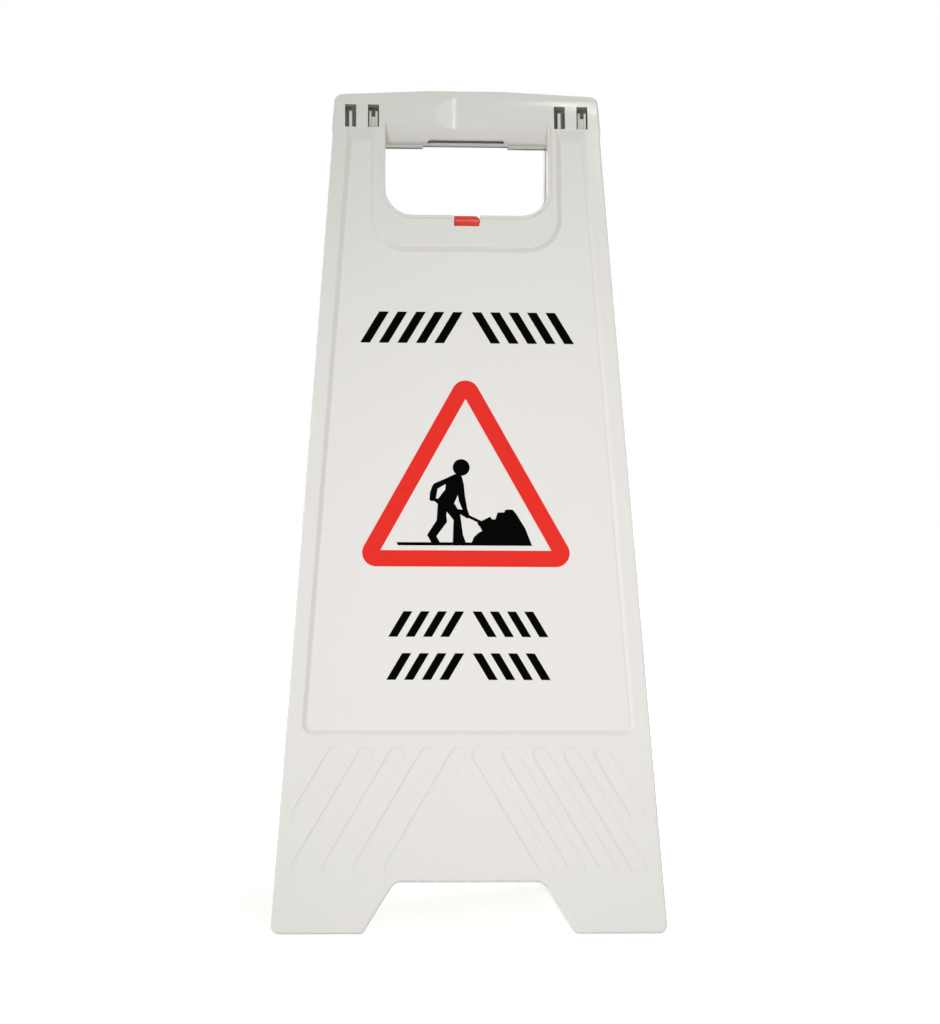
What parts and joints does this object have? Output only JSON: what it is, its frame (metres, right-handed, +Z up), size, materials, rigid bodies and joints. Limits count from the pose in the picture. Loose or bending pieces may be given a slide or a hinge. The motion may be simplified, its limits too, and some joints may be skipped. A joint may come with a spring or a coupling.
{
  "type": "a-frame sign",
  "caption": "Folding a-frame floor sign of two tapered white plastic panels with a carrying handle, sunk sign field, red locking arm and a red warning triangle on its front.",
  "frame": {"origin": "on the floor, midway between the feet", "axes": "+Z up, the printed panel faces -Y, +X to the right as seen from the front"},
  "size_m": [0.3018, 0.2816, 0.6603],
  "materials": {
    "white_plastic": "moulded, satin",
    "printed_sheet": "printed vinyl, satin",
    "red_plastic": "moulded, glossy",
    "pin_nylon": "moulded nylon, natural"
  },
  "bodies": {
    "front": {"front_panel": "white_plastic", "front_sign_face": "printed_sheet", "hinge_pin_left": "pin_nylon", "hinge_pin_right": "pin_nylon", "locking_arm_pin": "pin_nylon"},
    "rear": {"rear_panel": "white_plastic"},
    "arm": {"locking_arm": "red_plastic"}
  },
  "joints": [
    {"name": "fold", "type": "hinge", "parent": "front", "child": "rear", "pos_m": [0, 0, 0.64002], "axis": [1, 0, 0], "range_deg": [-22, 0]},
    {"name": "locking_arm_swing", "type": "hinge", "parent": "front", "child": "arm", "pos_m": [0, -0.02875, 0.55342], "axis": [1, 0, 0], "range_deg": [-88, 0]}
  ],
  "couplings": [
    {"joint": "locking_arm_swing", "follows": "fold", "ratio": 4}
  ]
}
